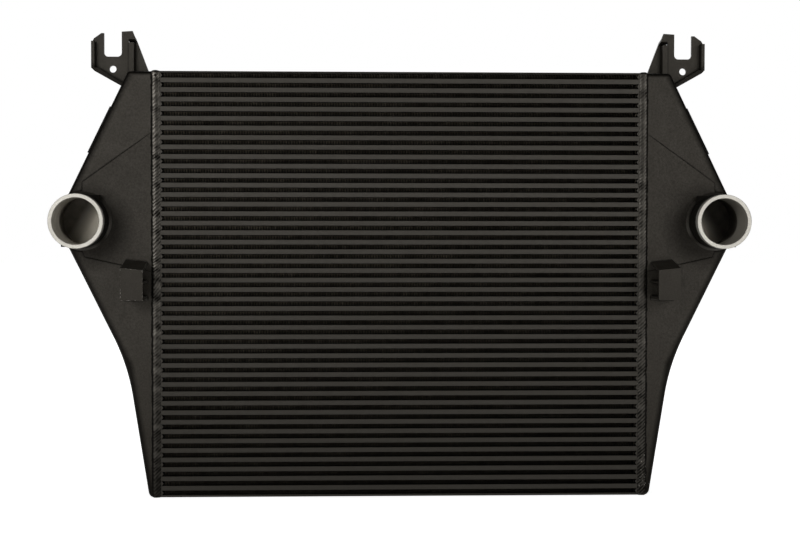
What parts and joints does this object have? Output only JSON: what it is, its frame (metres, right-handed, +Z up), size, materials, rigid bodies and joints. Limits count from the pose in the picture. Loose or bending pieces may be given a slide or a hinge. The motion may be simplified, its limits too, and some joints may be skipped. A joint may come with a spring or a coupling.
{
  "type": "intercooler",
  "caption": "Flat charge-air cooler with a folded-fin core, a slanted cast tank with a round hose pipe at each end, and slotted mounting hooks on top.",
  "frame": {"origin": "middle of the footprint of the whole part, at the height of the tanks' feet", "axes": "+X to the right seen from the pipe side, +Y away from the pipe side, +Z up, the hooks on top"},
  "size_m": [0.9738, 0.1248, 0.6586],
  "materials": {
    "core_paint": "satin black paint over brazed aluminium bars and plates",
    "fin_paint": "matte black paint, thin, over folded aluminium sheet",
    "tank_paint": "satin black paint over sand-cast aluminium, faintly mottled",
    "bracket_paint": "satin black paint over aluminium plate",
    "weld_paint": "satin black paint over rippled weld beads",
    "pipe_metal": "satin black paint with a bare machined band and rim at the open end"
  },
  "bodies": {
    "root": {"core_top_plate": "core_paint", "core_bottom_plate": "core_paint", "separator_plates": "core_paint", "front_charge_bars": "core_paint", "rear_charge_bars": "core_paint", "left_end_bars": "core_paint", "right_end_bars": "core_paint", "cooling_fins": "fin_paint", "charge_turbulators": "fin_paint", "left_tank": "tank_paint", "left_pipe": "pipe_metal", "left_hook_bracket": "bracket_paint", "left_stop_bracket": "bracket_paint", "left_tank_weld": "weld_paint", "left_fitting_welds": "weld_paint", "right_tank": "tank_paint", "right_pipe": "pipe_metal", "right_hook_bracket": "bracket_paint", "right_stop_bracket": "bracket_paint", "right_tank_weld": "weld_paint", "right_fitting_welds": "weld_paint"}
  },
  "joints": []
}
